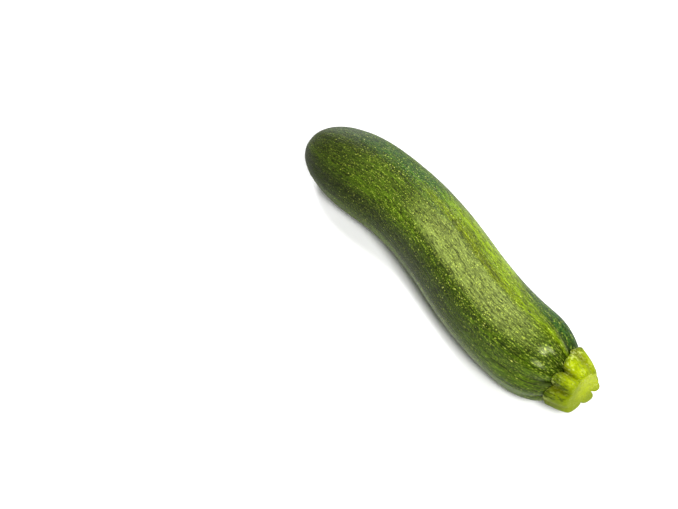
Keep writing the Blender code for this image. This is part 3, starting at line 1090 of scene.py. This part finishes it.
def makeStem(material, shift):
    inputs = {
        "Lumps": stem["lumps"],
        "Fibres": stem["fibres"],
        "Pimples": stem["pimples"],
        "Cut grain": stem["cutGrain"],
        "Vessel sink": stem["vesselSink"],
        "Material": material,
    }
    tree, n, given = geometryTree("stemRelief", inputs)
    body = n.add("GeometryNodeMergeByDistance", {"Geometry": given["Geometry"], "Distance": mergeDistance})
    unbent = attribute(n, "unbent", "FLOAT_VECTOR")
    x, y, z = n.split(unbent)
    height, onCut, vessel = (attribute(n, name) for name in ("height", "onCut", "vessel"))
    fibreWay = n.join(n.product(x, stem["fibreStretch"]), y, z)
    lumps = n.product(centred(n, unbent, stem["lumpNoise"]), given["Lumps"])
    fibres = n.product(centred(n, fibreWay, stem["fibreNoise"]), given["Fibres"])
    pimples = n.span(n.cells(unbent, stem["pimpleCells"])[0], *stem["pimpleReach"], 1, 0)
    pimples = n.product(pimples, given["Pimples"])
    flank = n.product(n.total(lumps, fibres, pimples), n.span(height, *stem["reliefStart"]))
    grain = n.product(centred(n, unbent, stem["grainNoise"]), given["Cut grain"])
    face = n.math("SUBTRACT", grain, n.product(vessel, given["Vessel sink"]))
    relief = n.add("ShaderNodeMix", {0: onCut, 2: flank, 3: face}, data_type="FLOAT")
    relief = n.product(relief, n.math("GREATER_THAN", height, 0.0))
    offset = n.scaled(n.add("GeometryNodeInputNormal"), relief)
    body = n.add("GeometryNodeSetPosition", {"Geometry": body, "Offset": offset})
    finished(n, body, given["Material"])
    piece = baked(stemBase(shift), tree, inputs, "courgetteStem")
    report(piece)
    return piece


# How far the shape moves from its stations to its place over the origin
def placing():
    radii, stations = fruitLine()
    angles = np.linspace(0, tau, placingAngles, endpoint=False)
    r, a = (grid.ravel() for grid in np.meshgrid(radii, angles))
    s = np.tile(stations, len(angles))
    centre, side, up, _ = centreFrame(s)
    points = centre + (side * np.cos(a)[:, None] + up * np.sin(a)[:, None]) * (r * ribScale(a, s))[:, None]
    least, most = points.min(axis=0), points.max(axis=0)
    low, high = (np.array(corner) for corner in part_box("fruit"))
    return np.array([high[0] - most[0], (low[1] + high[1] - least[1] - most[1]) / 2, 0.0])


shift = placing()
print("shift", [round(v * 1000, 3) for v in shift])
skin = makeSkin()
stub = makeStub()
fruitPiece = makeFruit(skin, shift)
stemPiece = makeStem(stub, shift)
for piece, node, slotName in ((fruitPiece, "fruit", "skin"), (stemPiece, "stem", "stem")):
    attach(piece, "root")
    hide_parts(node)
print("pieces are on the frame")

# Floor, light and camera
studio = {
    "floor": paint(250, 250, 250),
    "floorRoughness": 0.75,
    "floorSize": 6.0,
    "worldColour": (1.0, 1.0, 1.0, 1.0),
    "world": 0.14,
    "lens": 85.0,
    "sensor": 36.0,
    "clip": (0.01, 50.0),
    "cameraPlace": (0.4424, -0.3471, 0.6437),
    "cameraTilt": 38.0,
    "cameraTurn": 50.75,
}
# name, place, width and height in metres, power in watts
lights = (
    ("top", (-0.55, 0.12, 0.95), (0.36, 0.36), 10.0),
    ("front", (0.50, 0.45, 0.80), (0.45, 0.45), 1.2),
    ("shoulder", (0.52, -0.26, 0.70), (0.24, 0.24), 9.5),
    ("backdrop", (-1.00, 0.86, 0.16), (0.6, 0.3), 9.0),
)


def makeFloor():
    size = studio["floorSize"] / 2
    corners = [(-size, -size, 0), (size, -size, 0), (size, size, 0), (-size, size, 0)]
    mesh = bpy.data.meshes.new("floor")
    mesh.from_pydata(corners, [], [(0, 1, 2, 3)])
    floor = placed("floor", mesh)
    surface, shader = newMaterial("paleFloor")
    shader.inputs["Base Color"].default_value = studio["floor"]
    shader.inputs["Roughness"].default_value = studio["floorRoughness"]
    mesh.materials.append(surface)


def makeLight():
    world = bpy.data.worlds.new("studioWorld")
    world.use_nodes = True
    background = world.node_tree.nodes["Background"]
    background.inputs["Color"].default_value = studio["worldColour"]
    background.inputs["Strength"].default_value = studio["world"]
    bpy.context.scene.world = world
    for name, place, size, power in lights:
        data = bpy.data.lights.new(name, "AREA")
        data.shape, data.energy = "RECTANGLE", power
        data.size, data.size_y = size
        lamp = placed(name, data)
        lamp.location = place
        lamp.rotation_euler = (-Vector(place)).to_track_quat("-Z", "Y").to_euler()


def makeCamera():
    data = bpy.data.cameras.new("camera")
    data.lens, data.sensor_width = studio["lens"], studio["sensor"]
    data.clip_start, data.clip_end = studio["clip"]
    camera = placed("camera", data)
    camera.location = Vector(studio["cameraPlace"]) + Vector(shift)
    camera.rotation_euler = Euler((radians(studio["cameraTilt"]), 0, radians(studio["cameraTurn"])))
    bpy.context.scene.camera = camera
    bpy.context.scene.view_settings.view_transform = "Standard"


makeFloor()
makeLight()
makeCamera()
print("studio is lit")
bpy.context.view_layer.update()
